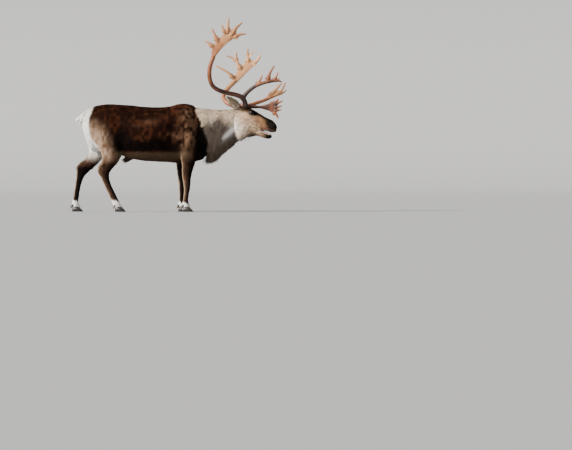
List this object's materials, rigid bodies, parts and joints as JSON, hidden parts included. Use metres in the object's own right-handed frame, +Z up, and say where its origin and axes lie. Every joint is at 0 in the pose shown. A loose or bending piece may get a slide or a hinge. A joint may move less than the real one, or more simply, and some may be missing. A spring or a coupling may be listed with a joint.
{
  "type": "reindeer",
  "caption": "Still life-size bull reindeer with tall palmate antlers, standing with its neck stretched forward, a shaggy throat mane and its mouth a little open.",
  "frame": {"origin": "middle of the bounding box in plan, on the floor under the hooves", "axes": "+X points ahead of the animal, +Y to its left and +Z up"},
  "size_m": [2.3869, 0.7969, 2.1239],
  "materials": {
    "body_coat": "dense chocolate-brown hair, matte",
    "pale_coat": "long cream and grey-brown neck hair, matte",
    "face_coat": "short brown hair, darker at the muzzle",
    "leg_coat": "short dark brown hair with white above the hooves",
    "white_coat": "white hair",
    "hoof": "dark horn, worn smooth",
    "antler": "polished bone, dark brown along the beams and pale on the palms",
    "eye": "dark and wet",
    "tongue": "moist, pinkish grey"
  },
  "bodies": {
    "root": {"torso": "body_coat", "neck": "pale_coat", "head": "face_coat", "lower_jaw": "face_coat", "tongue": "tongue", "eye_right": "eye", "ear_right": "face_coat", "antler_right_base": "antler", "antler_right_beam": "antler", "antler_right_palm": "antler", "antler_right_bez": "antler", "antler_right_brow": "antler", "eye_left": "eye", "ear_left": "face_coat", "antler_left_base": "antler", "antler_left_beam": "antler", "antler_left_palm": "antler", "antler_left_bez": "antler", "antler_left_brow": "antler", "tail": "white_coat", "foreleg_right_forearm": "leg_coat", "foreleg_right_cannon": "leg_coat", "foreleg_right_inner_toe": "hoof", "foreleg_right_outer_toe": "hoof", "foreleg_right_inner_dewclaw": "hoof", "foreleg_right_outer_dewclaw": "hoof", "foreleg_left_forearm": "leg_coat", "foreleg_left_cannon": "leg_coat", "foreleg_left_inner_toe": "hoof", "foreleg_left_outer_toe": "hoof", "foreleg_left_inner_dewclaw": "hoof", "foreleg_left_outer_dewclaw": "hoof", "hindleg_right_gaskin": "leg_coat", "hindleg_right_cannon": "leg_coat", "hindleg_right_inner_toe": "hoof", "hindleg_right_outer_toe": "hoof", "hindleg_right_inner_dewclaw": "hoof", "hindleg_right_outer_dewclaw": "hoof", "hindleg_left_gaskin": "leg_coat", "hindleg_left_cannon": "leg_coat", "hindleg_left_inner_toe": "hoof", "hindleg_left_outer_toe": "hoof", "hindleg_left_inner_dewclaw": "hoof", "hindleg_left_outer_dewclaw": "hoof"}
  },
  "joints": []
}
